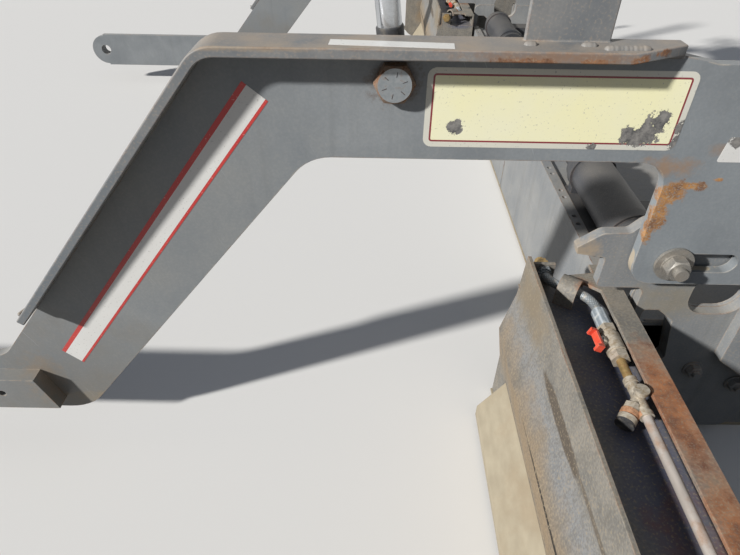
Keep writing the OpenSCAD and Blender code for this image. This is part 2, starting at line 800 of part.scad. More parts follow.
module lift_rod() {
    color(chrome) translate([0, 0, lift_z]) rotate([0, lean, 0]) union() {
        difference() {
            union() {
                bar_y(0, 0, 84, eye_y, eye_y + eye_w);
                translate([0, eye_y + eye_w / 2, 30]) cylinder(d = rod_d, h = 80 + rod_out + 200);
            }
            bar_y(0, 0, lift_bolt_d + 2 * fit, eye_y - 1, eye_y + eye_w + 1);
        }
    }
}

module lift_barrel() {
    base = 110 + rod_out;
    color(black) translate([0, 0, lift_z]) rotate([0, lean, 0]) difference() {
        union() {
            translate([0, eye_y + eye_w / 2, base]) cylinder(d = barrel_d, h = barrel_len);
            translate([0, eye_y + eye_w / 2, base - 16]) cylinder(d = barrel_d + 10, h = 50);
            bar_y(0, base + barrel_len + 34, 80, eye_y, eye_y + eye_w);
            translate([26, eye_y + eye_w / 2, base + barrel_len - 40]) rotate([0, 90, 0]) cylinder(d = 26, h = 24);
            translate([26, eye_y + eye_w / 2, base + 50]) rotate([0, 90, 0]) cylinder(d = 26, h = 24);
        }
        translate([0, eye_y + eye_w / 2, base - 17]) cylinder(d = rod_d + 2 * fit, h = barrel_len);
        bar_y(0, base + barrel_len + 34, lift_bolt_d + 2 * fit, eye_y - 1, eye_y + eye_w + 1);
    }
}

for (side = SIDES) {
    on_side(side) main_frame();
    on_side(side) main_sole();
    on_side(side) guide_sleeves();
    on_side(side) hanger();
    on_side(side) hanger_pad();
    on_side(side) pivot_bolt();
    on_side(side) depth_nut();
    on_side(side) ext_cylinder();
    on_side(side) vibrator();
    on_side(side) walkway();
    on_side(side) control_box();
    on_side(side) ext_frame();
    on_side(side) ext_toe();
    on_side(side) ext_sole();
    on_side(side) ext_guides();
    on_side(side) ext_rod();
    on_side(side) gas_line();
    on_side(side) gas_valve();
    on_side(side) gas_hose();
    on_side(side) gate();
    on_side(side) gate_jacks();
    on_side(side) arm();
    on_side(side) arm_flange();
    on_side(side) lift_bolt();
    on_side(side) depth_trunnion();
    on_side(side) tow_bar();
    on_side(side) depth_screw();
    on_side(side) lift_rod();
    on_side(side) lift_barrel();
}
crown_turnbuckle();
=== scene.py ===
import json
import math
import random

import bmesh
import bpy
from mathutils import Matrix, Vector


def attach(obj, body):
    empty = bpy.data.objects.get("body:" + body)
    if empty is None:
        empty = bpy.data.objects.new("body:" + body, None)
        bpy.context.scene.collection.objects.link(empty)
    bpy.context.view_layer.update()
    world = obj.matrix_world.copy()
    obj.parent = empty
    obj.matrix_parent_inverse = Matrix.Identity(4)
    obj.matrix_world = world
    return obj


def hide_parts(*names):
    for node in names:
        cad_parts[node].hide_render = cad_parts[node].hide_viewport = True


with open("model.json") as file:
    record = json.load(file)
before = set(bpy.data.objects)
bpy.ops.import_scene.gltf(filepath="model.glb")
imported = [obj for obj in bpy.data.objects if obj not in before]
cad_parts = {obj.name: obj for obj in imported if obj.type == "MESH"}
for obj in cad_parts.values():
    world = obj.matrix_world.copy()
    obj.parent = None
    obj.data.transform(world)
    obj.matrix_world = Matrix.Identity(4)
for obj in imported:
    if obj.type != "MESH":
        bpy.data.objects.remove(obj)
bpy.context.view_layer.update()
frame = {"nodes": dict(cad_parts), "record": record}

print("frame loaded")

nodes = frame["nodes"]
sides = {"left": 1, "right": -1}
mm = 0.001


def hexColor(code):
    # sRGB hex to the linear values that shaders use
    parts = [int(code[i:i + 2], 16) / 255 for i in (1, 3, 5)]
    return tuple(c / 12.92 if c <= 0.04045 else ((c + 0.055) / 1.055) ** 2.4 for c in parts) + (1.0,)


def addNode(tree, kind, settings=None, links=None):
    # settings are attributes or input values, links are input name or index to (node, output)
    node = tree.nodes.new(kind)
    for key, value in (settings or {}).items():
        if isinstance(key, int) or key in node.inputs:
            node.inputs[key].default_value = value
        else:
            setattr(node, key, value)
    for key, (source, output) in (links or {}).items():
        tree.links.new(source.outputs[output], node.inputs[key])
    return node


# Finishes

def newMaterial(name):
    material = bpy.data.materials.new(name)
    material.use_nodes = True
    tree = material.node_tree
    tree.nodes.clear()
    shader = addNode(tree, "ShaderNodeBsdfPrincipled")
    addNode(tree, "ShaderNodeOutputMaterial", links={"Surface": (shader, "BSDF")})
    place = addNode(tree, "ShaderNodeTexCoord")
    return material, tree, shader, place


def rampMask(tree, source, low, high, output=0):
    # 0 where the source is at low, 1 where it is at high, which may be the lesser of the two
    return addNode(tree, "ShaderNodeMapRange", {"From Min": low, "From Max": high, "clamp": True},
                   {"Value": (source, output)})


def noise(tree, place, perMetre, detail, roughness=0.5):
    return addNode(tree, "ShaderNodeTexNoise", {"Scale": perMetre, "Detail": detail, "Roughness": roughness},
                   {"Vector": place})


def addBump(tree, shader, height, strength, depth):
    bump = addNode(tree, "ShaderNodeBump", {"Strength": strength, "Distance": depth}, {"Height": (height, 0)})
    tree.links.new(bump.outputs[0], shader.inputs["Normal"])


def mixColor(tree, mask, below, above):
    # below and above are hex codes or (node, output)
    node = addNode(tree, "ShaderNodeMix", {"data_type": "RGBA"}, {0: mask})
    for slot, value in ((6, below), (7, above)):
        if isinstance(value, str):
            node.inputs[slot].default_value = hexColor(value)
        else:
            tree.links.new(value[0].outputs[value[1]], node.inputs[slot])
    return node


def combine(tree, kind, first, second, clamp=True):
    # first and second are numbers or nodes
    node = addNode(tree, "ShaderNodeMath", {"operation": kind, "use_clamp": clamp})
    for slot, value in ((0, first), (1, second)):
        if isinstance(value, (int, float)):
            node.inputs[slot].default_value = value
        else:
            tree.links.new(value.outputs[0], node.inputs[slot])
    return node


def foldSides(tree, place):
    # The place on the left half that matches this one, so that a mark is set once for both sides
    parts = addNode(tree, "ShaderNodeSeparateXYZ", links={"Vector": (place, "Object")})
    across = addNode(tree, "ShaderNodeMath", {"operation": "ABSOLUTE"}, {0: (parts, 1)})
    return addNode(tree, "ShaderNodeCombineXYZ", links={0: (parts, 0), 1: (across, 0), 2: (parts, 2)})


def blotMask(tree, folded, texture, blot):
    # 1 inside an ellipsoid, broken up by the texture towards its rim: place, half sizes and, if any,
    # tilt, softness and how far the texture eats into it
    local = addNode(tree, "ShaderNodeMapping", {
        "vector_type": "TEXTURE", "Location": blot["at"], "Rotation": blot.get("tilt", (0, 0, 0)),
        "Scale": blot["half"]}, {"Vector": (folded, 0)})
    far = addNode(tree, "ShaderNodeVectorMath", {"operation": "LENGTH"}, {0: (local, 0)})
    near = rampMask(tree, far, 1.0, 0.2, "Value")
    centred = combine(tree, "SUBTRACT", texture, 0.5, clamp=False)
    eaten = combine(tree, "MULTIPLY", centred, blot.get("ragged", 2.5), clamp=False)
    field = combine(tree, "ADD", near, eaten, clamp=False)
    soft = blot.get("soft", 0.15)
    filled = rampMask(tree, field, 0.5 - soft, 0.5 + soft)
    return combine(tree, "MULTIPLY", filled, rampMask(tree, near, 0.0, 0.12))


# Sizes in metres that every enamel shares. Orange peel and grit are finer than a millimetre in fact; their
# 4 mm grain is as coarse as it has to be to show from where the camera stands
enamelMarks = {
    "streakWidth": 0.02, "streakLength": 0.4, "scratchWidth": 0.0016, "scratchLength": 0.5, "relief": 0.0006,
    "bareRoughness": 0.9, "dustRoughness": 0.25, "sheen": 0.3,
}


def wornEnamel(name, look):
    # Sprayed enamel on hot rolled plate: soft mottled sheen, dust on what faces up, grit specks,
    # paint rubbed off along the edges down to primer and rust, rain streaks down the walls
    material, tree, shader, place = newMaterial(name)
    coords = (place, "Object")
    mottle = noise(tree, coords, 1 / look["mottleSize"], 5.0, 0.6)
    grain = noise(tree, coords, 1 / look["grainSize"], 3.0)
    blotch = noise(tree, coords, 1 / look["rustSize"], 8.0, 0.7)
    perWidth, perLength = 1 / enamelMarks["streakWidth"], 1 / enamelMarks["streakLength"]
    streakPlace = addNode(tree, "ShaderNodeMapping", {"Scale": (perWidth, perWidth, perLength)},
                          {"Vector": coords})
    streak = noise(tree, (streakPlace, 0), 1.0, 4.0)
    facing = addNode(tree, "ShaderNodeNewGeometry")
    normalParts = addNode(tree, "ShaderNodeSeparateXYZ", links={"Vector": (facing, "Normal")})
    folded = foldSides(tree, place)
    # Rounded normal against the true one finds the edges within a few millimetres
    rounded = addNode(tree, "ShaderNodeBevel", {"samples": 6, "Radius": look["edgeWidth"]})
    bend = addNode(tree, "ShaderNodeVectorMath", {"operation": "DOT_PRODUCT"},
                   {0: (rounded, "Normal"), 1: (facing, "Normal")})
    edge = rampMask(tree, bend, 0.998, 0.93, "Value")
    wear = combine(tree, "MULTIPLY", edge, rampMask(tree, blotch, 0.42, 0.58))
    wear = combine(tree, "MULTIPLY", wear, look["edgeWear"])
    # Paint, lighter and darker, with faded or scoured parts
    tone = mixColor(tree, (rampMask(tree, mottle, 0.35, 0.68), 0), look["color"], look["light"])
    for blot in look.get("tints", []):
        mask = combine(tree, "MULTIPLY", blotMask(tree, folded, mottle, blot), blot["strength"])
        tone = mixColor(tree, (mask, 0), (tone, 2), blot["color"])
    # Dirt: grit, rain streaks, dust, stains and pale specks. A look may list painted shade among its stains
    grit = combine(tree, "MULTIPLY", rampMask(tree, grain, 0.58, 0.36), look.get("grit", 0.15))
    tone = mixColor(tree, (grit, 0), (tone, 2), look["streakColor"])
    streakMask = combine(tree, "MULTIPLY", rampMask(tree, streak, 0.52, 0.75), look["streaks"])
    tone = mixColor(tree, (streakMask, 0), (tone, 2), look["streakColor"])
    dustTop = rampMask(tree, normalParts, 0.25, 0.9, 2)
    dustFilm = combine(tree, "ADD", dustTop, look["dustWalls"])
    dust = combine(tree, "MULTIPLY", dustFilm, rampMask(tree, mottle, 0.30, 0.75))
    dust = combine(tree, "MULTIPLY", dust, look["dust"])
    tone = mixColor(tree, (dust, 0), (tone, 2), look["dustColor"])
    for blot in look.get("stainsAndPaintedShade", []):
        mask = combine(tree, "MULTIPLY", blotMask(tree, folded, blotch, blot), blot["strength"])
        tone = mixColor(tree, (mask, 0), (tone, 2), blot["color"])
    specks = combine(tree, "MULTIPLY", rampMask(tree, grain, 0.56, 0.66), look.get("specks", 0.25))
    tone = mixColor(tree, (specks, 0), (tone, 2), look["dustColor"])
    if "scratchTilt" in look:
        run = addNode(tree, "ShaderNodeMapping", {
            "vector_type": "TEXTURE", "Rotation": (0, look["scratchTilt"], 0),
            "Scale": (enamelMarks["scratchWidth"], 1.0, enamelMarks["scratchLength"])}, {"Vector": coords})
        lines = noise(tree, (run, 0), 1.0, 1.0)
        drawn = combine(tree, "MULTIPLY", rampMask(tree, lines, 0.70, 0.76), rampMask(tree, mottle, 0.50, 0.62))
        drawn = combine(tree, "MULTIPLY", drawn, 0.5)
        tone = mixColor(tree, (drawn, 0), (tone, 2), look["scratchColor"])
    # Rust, dark and light, flecked with dust, and paint gone along the edges
    rustField = combine(tree, "SUBTRACT", blotch, 1.0 - look["rust"])
    rustMask = combine(tree, "MULTIPLY", rustField, 9.0)
    for blot in look.get("rustSpots", []):
        rustMask = combine(tree, "MAXIMUM", rustMask, blotMask(tree, folded, blotch, blot))
    rustTone = mixColor(tree, (rampMask(tree, blotch, 0.40, 0.62), 0), look["rustLight"], look["rustDark"])
    flecks = combine(tree, "MULTIPLY", rampMask(tree, grain, 0.54, 0.68), 0.55)
    rustTone = mixColor(tree, (flecks, 0), (rustTone, 2), look["dustColor"])
    rustMask = combine(tree, "MULTIPLY", rustMask, rampMask(tree, grain, 0.22, 0.46))
    bare = mixColor(tree, (rampMask(tree, mottle, 0.42, 0.58), 0), look["edgeColor"], (rustTone, 2))
    tone = mixColor(tree, (wear, 0), (tone, 2), (bare, 2))
    tone = mixColor(tree, (rustMask, 0), (tone, 2), (rustTone, 2))
    tree.links.new(tone.outputs[2], shader.inputs["Base Color"])
    # Dull where it is rusty, worn or dusty
    rustMask = combine(tree, "MAXIMUM", rustMask, wear)
    rough = addNode(tree, "ShaderNodeMapRange", {
        "To Min": look["roughness"], "To Max": enamelMarks["bareRoughness"]}, {"Value": (rustMask, 0)})
    rough = combine(tree, "ADD", rough, combine(tree, "MULTIPLY", dust, enamelMarks["dustRoughness"]))
    tree.links.new(rough.outputs[0], shader.inputs["Roughness"])
    # Chalked by the weather, so it mirrors less than fresh enamel
    shader.inputs["Specular IOR Level"].default_value = enamelMarks["sheen"]
    relief = combine(tree, "MULTIPLY", grain, combine(tree, "ADD", rustMask, look["orangePeel"]), clamp=False)
    addBump(tree, shader, relief, 0.35, enamelMarks["relief"])
    return material


def plainMetal(name, look):
    # Bare or plated metal: polish lines and a film of dirt in patches. polish is how far apart the lines are
    # along each axis, in metres: real ones are tenths of a millimetre, and these are millimetres so that they show
    material, tree, shader, place = newMaterial(name)
    coords = (place, "Object")
    stretched = addNode(tree, "ShaderNodeMapping", {"Scale": [1 / size for size in look["polish"]]},
                        {"Vector": coords})
    lines = noise(tree, (stretched, 0), 1.0, 3.0)
    film = noise(tree, coords, 1 / look["filmSize"], 6.0, 0.65)
    filmMask = combine(tree, "MULTIPLY", rampMask(tree, film, look.get("filmFrom", 0.48), 0.66), look["film"])
    tone = mixColor(tree, (rampMask(tree, lines, 0.3, 0.7), 0), look["color"], look["light"])
    tone = mixColor(tree, (filmMask, 0), (tone, 2), look["filmColor"])
    tree.links.new(tone.outputs[2], shader.inputs["Base Color"])
    rough = addNode(tree, "ShaderNodeMapRange", {"To Min": look["roughness"], "To Max": 0.85},
                    {"Value": (filmMask, 0)})
    tree.links.new(rough.outputs[0], shader.inputs["Roughness"])
    metal = addNode(tree, "ShaderNodeMapRange", {"To Min": look["metallic"], "To Max": 0.1},
                    {"Value": (filmMask, 0)})
    tree.links.new(metal.outputs[0], shader.inputs["Metallic"])
    addBump(tree, shader, lines, 0.25, 0.0003)
    return material


# Grey machine enamel sprayed on flame cut plate: satin, rusting where asphalt rubs it
armEnamel = wornEnamel("greyArmEnamel", {
    "color": "#7c8082", "light": "#8a8e90", "mottleSize": 0.13, "grainSize": 0.0042, "rustSize": 0.022,
    "edgeWidth": 0.004, "edgeWear": 0.75, "edgeColor": "#b9ae9c", "dust": 0.45, "dustWalls": 0.16,
    "dustColor": "#a39a8a", "streaks": 0.20, "streakColor": "#6b6d6d", "rust": 0.27,
    "rustDark": "#77563f", "rustLight": "#b5844f", "roughness": 0.42, "orangePeel": 0.15,
    "specks": 0.09, "scratchTilt": 0.42, "scratchColor": "#b4b8b8",
    "tints": [
        dict(at=(-0.62, 1.27, 0.62), half=(0.34, 0.1, 0.34), color="#83898c", strength=0.8, soft=0.6),
        dict(at=(0.30, 1.27, 0.62), half=(0.44, 0.1, 0.40), color="#828381", strength=0.8, soft=0.6),
        dict(at=(0.50, 1.27, 0.16), half=(0.40, 0.2, 0.26), color="#74716b", strength=0.9, soft=0.6),
    ],
    "stainsAndPaintedShade": [
        dict(at=(-0.635, 1.27, 0.752), half=(0.075, 0.03, 0.026), color="#96795e", strength=0.75, soft=0.4),
        dict(at=(-0.74, 1.27, 0.785), half=(0.060, 0.03, 0.018), color="#93785f", strength=0.5, soft=0.4),
        dict(at=(0.42, 1.27, 0.125), half=(0.20, 0.05, 0.035), color="#8b7d66", strength=0.7, soft=0.5),
        dict(at=(0.60, 1.27, 0.20), half=(0.06, 0.05, 0.10), color="#8d7b65", strength=0.5, soft=0.4),
        dict(at=(-0.640, 1.256, 0.545), half=(0.020, 0.0145, 0.050), color="#b3a48c", strength=0.8),
        dict(at=(-0.775, 1.256, 0.537), half=(0.060, 0.0145, 0.016), color="#b3a48c", strength=0.8),
        dict(at=(-0.173, 1.27, 0.889), half=(0.052, 0.03, 0.052), color="#5c4636", strength=0.85, soft=0.3),
    ],
    "rustSpots": [
        dict(at=(-0.657, 1.27, 0.702), half=(0.046, 0.03, 0.042)),
        dict(at=(-0.652, 1.27, 0.662), half=(0.026, 0.03, 0.060), tilt=(0, 0.12, 0)),
        dict(at=(-0.644, 1.27, 0.622), half=(0.014, 0.03, 0.045), tilt=(0, 0.12, 0)),
        dict(at=(-0.690, 1.27, 0.718), half=(0.042, 0.03, 0.013)),
        dict(at=(-0.730, 1.27, 0.732), half=(0.016, 0.03, 0.007)),
    ],
})
# The same enamel on rolled flat bar, trodden and dusty, its lower edge chipped to rust
flangeEnamel = wornEnamel("greyFlangeEnamel", {
    "color": "#6f7274", "light": "#828382", "mottleSize": 0.08, "grainSize": 0.0042, "rustSize": 0.018,
    "edgeWidth": 0.005, "edgeWear": 0.8, "edgeColor": "#ad9f8d", "dust": 0.9, "dustWalls": 0.12,
    "dustColor": "#a4937f", "streaks": 0.3, "streakColor": "#5f605f", "rust": 0.28,
    "rustDark": "#6a4b38", "rustLight": "#9d7150", "roughness": 0.48, "orangePeel": 0.25, "specks": 0.3,
    "stainsAndPaintedShade": [
        dict(at=(-0.42, 1.322, 0.942), half=(0.19, 0.006, 0.016), color="#8d6c52", strength=0.7, soft=0.4),
        dict(at=(0.10, 1.322, 0.949), half=(0.22, 0.006, 0.007), color="#9c8b75", strength=0.7, soft=0.4),
        dict(at=(0.42, 1.322, 0.62), half=(0.62, 0.005, 0.42), color="#6c7276", strength=0.65, soft=0.4),
    ],
    "rustSpots": [
        dict(at=(-0.355, 1.324, 0.936), half=(0.075, 0.010, 0.009)),
        dict(at=(-0.450, 1.324, 0.937), half=(0.045, 0.010, 0.009)),
        dict(at=(-0.525, 1.318, 0.938), half=(0.040, 0.018, 0.013)),
        dict(at=(-0.560, 1.300, 0.944), half=(0.040, 0.014, 0.009)),
    ],
})
# The same enamel on the frame's plates, scraped by the arms and by shovels
frameEnamel = wornEnamel("greyFrameEnamel", {
    "color": "#797c7e", "light": "#8b8d8d", "mottleSize": 0.13, "grainSize": 0.0042, "rustSize": 0.03,
    "edgeWidth": 0.005, "edgeWear": 0.85, "edgeColor": "#b3a692", "dust": 0.55, "dustWalls": 0.25,
    "dustColor": "#9d917e", "streaks": 0.28, "streakColor": "#5f5e5b", "rust": 0.30,
    "rustDark": "#664733", "rustLight": "#97694a", "roughness": 0.5, "orangePeel": 0.15, "specks": 0.4,
    "scratchTilt": -0.9, "scratchColor": "#a8aaa9",
    "stainsAndPaintedShade": [
        dict(at=(-0.545, 1.243, 0.545), half=(0.05, 0.03, 0.07), color="#a8957c", strength=0.75, soft=0.4),
        dict(at=(-0.78, 1.245, 0.44), half=(0.16, 0.03, 0.07), color="#8d836f", strength=0.6, soft=0.5),
    ],
})
# Enamel that hot asphalt has scoured off pressed plate, down to gritty bare steel in bands, with painted shade on
# the floor of its tray
boardEnamelAndShade = wornEnamel("rubbedBoardEnamelAndShade", {
    "color": "#716f6a", "light": "#8a8781", "mottleSize": 0.07, "grainSize": 0.0050, "rustSize": 0.05,
    "edgeWidth": 0.005, "edgeWear": 0.85, "edgeColor": "#a89d8b", "dust": 0.55, "dustWalls": 0.5,
    "dustColor": "#8f826c", "streaks": 0.4, "streakColor": "#59544c", "rust": 0.30, "grit": 0.55,
    "rustDark": "#6b4938", "rustLight": "#a46d47", "roughness": 0.55, "orangePeel": 0.35, "specks": 0.65,
    "tints": [
        dict(at=(-0.475, 1.62, 0.310), half=(0.040, 1.2, 0.075), color="#7f8285", strength=0.9, soft=0.4),
        dict(at=(-0.470, 1.70, 0.205), half=(0.050, 1.3, 0.122), color="#87735a", strength=0.95, soft=0.4,
             ragged=1.8),
        dict(at=(-0.660, 1.85, 0.436), half=(0.06, 0.55, 0.03), color="#8d6750", strength=0.9, soft=0.5),
    ],
    "stainsAndPaintedShade": [
        # Painted shade: the tray's floor in dark blue-grey, the shade that the board's front plate casts into it
        dict(at=(-0.610, 1.62, 0.376), half=(0.112, 1.2, 0.022), color="#50566b", strength=0.85,
             soft=0.4, ragged=1.2),
        dict(at=(-0.620, 1.95, 0.376), half=(0.10, 0.4, 0.022), color="#7c5240", strength=0.8, soft=0.4),
        # A dark brown band along the crease of the board's front, in two runs
        dict(at=(-0.487, 1.50, 0.362), half=(0.03, 0.20, 0.030), color="#4f463c", strength=0.95,
             soft=0.1, ragged=0.6),
        dict(at=(-0.487, 1.75, 0.370), half=(0.03, 0.30, 0.011), color="#5e564c", strength=0.95,
             soft=0.1, ragged=0.6),
        dict(at=(-0.461, 1.78, 0.2385), half=(0.03, 0.58, 0.0060), color="#1d1a18", strength=0.95,
             soft=0.15, ragged=0.5),
        dict(at=(-0.49, 1.22, 0.40), half=(0.03, 0.16, 0.09), color="#7c6f5b", strength=0.8, soft=0.4),
    ],
    "rustSpots": [
        dict(at=(-0.655, 1.50, 0.437), half=(0.060, 0.20, 0.03), soft=0.3),
        dict(at=(-0.655, 1.80, 0.437), half=(0.060, 0.26, 0.03), soft=0.3),
        dict(at=(-0.655, 2.06, 0.437), half=(0.060, 0.20, 0.03), soft=0.3),
        dict(at=(-0.600, 1.215, 0.437), half=(0.035, 0.06, 0.03), soft=0.3),
    ],
})
# Black cylinder enamel with a film of oil and dust
blackEnamel = wornEnamel("blackEnamel", {
    "color": "#35373b", "light": "#43454a", "mottleSize": 0.2, "grainSize": 0.003, "rustSize": 0.05,
    "edgeWidth": 0.004, "edgeWear": 0.5, "edgeColor": "#7d776c", "dust": 0.45, "dustWalls": 0.2,
    "dustColor": "#746d61", "streaks": 0.2, "streakColor": "#28282a", "rust": 0.28,
    "rustDark": "#573a29", "rustLight": "#85603f", "roughness": 0.42, "orangePeel": 0.1, "specks": 0.3,
})
# Red dipped enamel on a pressed handle, worn pale at its edges
redEnamel = wornEnamel("redHandleEnamel", {
    "color": "#c9402b", "light": "#dc5237", "mottleSize": 0.01, "grainSize": 0.001, "rustSize": 0.01,
    "edgeWidth": 0.0015, "edgeWear": 0.6, "edgeColor": "#d9b8ac", "dust": 0.25, "dustWalls": 0.1,
    "dustColor": "#cfa996", "streaks": 0.1, "streakColor": "#a2311f", "rust": 0.2, "rustDark": "#9b7a6d",
    "rustLight": "#cbb0a4", "roughness": 0.4, "orangePeel": 0.05,
})
# Forged flanks of a bolt that have lost their plating to rust
boltRust = wornEnamel("rustyBoltFlank", {
    "color": "#6d5c4f", "light": "#8c7866", "mottleSize": 0.012, "grainSize": 0.0012, "rustSize": 0.012,
    "edgeWidth": 0.0015, "edgeWear": 0.6, "edgeColor": "#b49a80", "dust": 0.3, "dustWalls": 0.3,
    "dustColor": "#ad9a85", "streaks": 0.1, "streakColor": "#4b3a2e", "rust": 0.52, "rustDark": "#5d3f2c",
    "rustLight": "#a9714a", "roughness": 0.6, "orangePeel": 0.4,
})
# Rolled wear steel, polished matt by asphalt and dulled by its dust
soleSteel = plainMetal("rubbedSoleSteel", {
    "color": "#968b76", "light": "#a49983", "polish": (0.15, 0.05, 0.02), "filmSize": 0.16,
    "film": 0.5, "filmColor": "#8e7d64", "roughness": 0.55, "metallic": 0.1,
})
# Phosphated bolt steel, worn to a grey sheen
boltSteel = plainMetal("greyBoltSteel", {
    "color": "#858a8c", "light": "#96999a", "polish": (0.006, 0.006, 0.006), "filmSize": 0.012,
    "film": 0.6, "filmColor": "#7b6c5f", "filmFrom": 0.55, "roughness": 0.45, "metallic": 0.35,
})
# Turned steel under dried oil, brown in its hollows
screwSteel = plainMetal("oiledScrewSteel", {
    "color": "#8c8983", "light": "#a19c93", "polish": (0.004, 0.004, 0.002), "filmSize": 0.03,
    "film": 0.6, "filmColor": "#7a7063", "roughness": 0.42, "metallic": 0.6,
})
# Ground guide tube with dark grease dragged along it
tubeSteel = plainMetal("greasyTubeSteel", {
    "color": "#5a5a5b", "light": "#73716c", "polish": (0.02, 0.15, 0.02), "filmSize": 0.06,
    "film": 0.8, "filmColor": "#47423d", "roughness": 0.34, "metallic": 0.7,
})
# Hard chrome, ground and polished
rodChrome = plainMetal("hardChromeRod", {
    "color": "#c3c7cb", "light": "#d8dbde", "polish": (0.02, 0.02, 0.3), "filmSize": 0.09,
    "film": 0.2, "filmColor": "#8d8276", "roughness": 0.12, "metallic": 1.0,
})
# Cast fittings plated with nickel, gone cream with dirt
nickelPlate = plainMetal("dirtyNickelPlate", {
    "color": "#9b9181", "light": "#c0b6a5", "polish": (0.008, 0.004, 0.008), "filmSize": 0.010,
    "film": 0.85, "filmColor": "#7f6c50", "roughness": 0.42, "metallic": 0.35,
})
# Steel rings of the regulator, rusted through their zinc
rustyRing = plainMetal("rustyRegulatorRing", {
    "color": "#a2775a", "light": "#bb9270", "polish": (0.004, 0.004, 0.004), "filmSize": 0.006,
    "film": 0.8, "filmColor": "#7f583c", "roughness": 0.6, "metallic": 0.2,
})
# Turned brass, tarnished brown
stainedBrass = plainMetal("stainedFittingBrass", {
    "color": "#927a4e", "light": "#ad9466", "polish": (0.006, 0.006, 0.006), "filmSize": 0.008,
    "film": 0.85, "filmColor": "#7c5a34", "roughness": 0.4, "metallic": 0.6,
})
# Hot dipped pipe, its zinc spangle dulled and stained by rust
zincPipe = plainMetal("galvanisedPipeZinc", {
    "color": "#9f968d", "light": "#b5aca3", "polish": (0.012, 0.05, 0.012), "filmSize": 0.03,
    "film": 0.7, "filmColor": "#927157", "roughness": 0.5, "metallic": 0.3,
})
# Moulded rubber, matt under dust
blackRubber = plainMetal("blackCapRubber", {
    "color": "#2a2a2b", "light": "#38383a", "polish": (0.004, 0.004, 0.004), "filmSize": 0.01,
    "film": 0.6, "filmColor": "#6a6358", "roughness": 0.6, "metallic": 0.0,
})


def aroundHose(name, look):
    # The UV's u runs once round the hose and its v along it in metres, so both patterns close on themselves.
    # turns is how many wires or flats go round, pitch how many radians of them pass in a metre
    material, tree, shader, place = newMaterial(name)
    parts = addNode(tree, "ShaderNodeSeparateXYZ", links={"Vector": (place, "UV")})
    turn = combine(tree, "MULTIPLY", parts, look["turns"] * math.tau, clamp=False)
    along = addNode(tree, "ShaderNodeMath", {"operation": "MULTIPLY", 1: look["pitch"]}, {0: (parts, 1)})
    crossing = []
    for kind in ("ADD", "SUBTRACT"):
        run = combine(tree, kind, turn, along, clamp=False)
        wave = addNode(tree, "ShaderNodeMath", {"operation": "SINE"}, {0: (run, 0)})
        crossing.append(rampMask(tree, wave, -0.5, 0.8))
    pattern = combine(tree, "MULTIPLY", crossing[0], crossing[1])
    tone = mixColor(tree, (pattern, 0), look["color"], look["light"])
    dust = noise(tree, (place, "Object"), look["dustPerMetre"], 4.0)
    tone = mixColor(tree, (rampMask(tree, dust, 0.5, 0.68), 0), (tone, 2), look["dustColor"])
    tree.links.new(tone.outputs[2], shader.inputs["Base Color"])
    shader.inputs["Roughness"].default_value = look["roughness"]
    shader.inputs["Metallic"].default_value = look["metallic"]
    addBump(tree, shader, pattern, 0.7, look["relief"])
    return material


# Steel wire braid over the hose, two sets of wires that cross. Real wires are 0.3 mm apart; these are
# 7 mm apart along the hose, so that the weave shows
hoseBraid = aroundHose("steelWireBraid", {
    "turns": 12, "pitch": 900.0, "color": "#6d7274", "light": "#a3a8a9", "dustColor": "#96928a",
    "dustPerMetre": 90.0, "roughness": 0.5, "metallic": 0.3, "relief": 0.0004})
# Zinc ferrule pressed on in eight flats, with a scale of white rust
crimpedZinc = aroundHose("crimpedFerruleZinc", {
    "turns": 8, "pitch": 0.0, "color": "#8f979c", "light": "#b9c0c4", "dustColor": "#d0d1cd",
    "dustPerMetre": 90.0, "roughness": 0.45, "metallic": 0.4, "relief": 0.0006})


# Patterns that fall on a metre: the sun's fading in patches of 110 mm, scuffs of 4 mm, coarser than real
# ones so that they show, and flakes whose rims are torn in steps of 20 mm and less
vinylMarks = {"fade": 9.0, "scuff": 240.0, "torn": 48.0, "relief": 0.0006, "tar": "#3a3b3d", "oldPaint": "#8b8781"}


def vinylSheet(name, look):
    # Printed vinyl, sun faded and finely scuffed; it has flaked off in patches down to tar and old paint
    material, tree, shader, place = newMaterial(name)
    coords = (place, "Object")
    fade = noise(tree, coords, vinylMarks["fade"], 5.0)
    scuff = noise(tree, coords, vinylMarks["scuff"], 2.0)
    torn = noise(tree, coords, vinylMarks["torn"], 8.0, 0.72)
    tone = mixColor(tree, (rampMask(tree, fade, 0.3, 0.7), 0), look["color"], look["faded"])
    tone = mixColor(tree, (rampMask(tree, scuff, 0.64, 0.72), 0), (tone, 2), look["scuffColor"])
    eaten = combine(tree, "MULTIPLY", combine(tree, "SUBTRACT", torn, 0.5, clamp=False), 3.0, clamp=False)
    flaked = 0.0
    for centre, reach in look["flakes"]:
        span = addNode(tree, "ShaderNodeVectorMath", {"operation": "DISTANCE", 1: centre}, {0: coords})
        near = rampMask(tree, span, reach * 1.5, reach * 0.3, "Value")
        field = combine(tree, "ADD", near, eaten, clamp=False)
        field = combine(tree, "MULTIPLY", rampMask(tree, field, 0.48, 0.54), rampMask(tree, near, 0.0, 0.1))
        flaked = combine(tree, "MAXIMUM", flaked, field)
    tar = mixColor(tree, (rampMask(tree, torn, 0.38, 0.62), 0), vinylMarks["tar"], vinylMarks["oldPaint"])
    tone = mixColor(tree, (flaked, 0), (tone, 2), (tar, 2))
    tree.links.new(tone.outputs[2], shader.inputs["Base Color"])
    rough = addNode(tree, "ShaderNodeMapRange", {"To Min": 0.35, "To Max": 0.85}, {"Value": (flaked, 0)})
    tree.links.new(rough.outputs[0], shader.inputs["Roughness"])
    height = combine(tree, "MULTIPLY", flaked, -1.0, clamp=False)
    addBump(tree, shader, height, 0.6, vinylMarks["relief"])
    return material


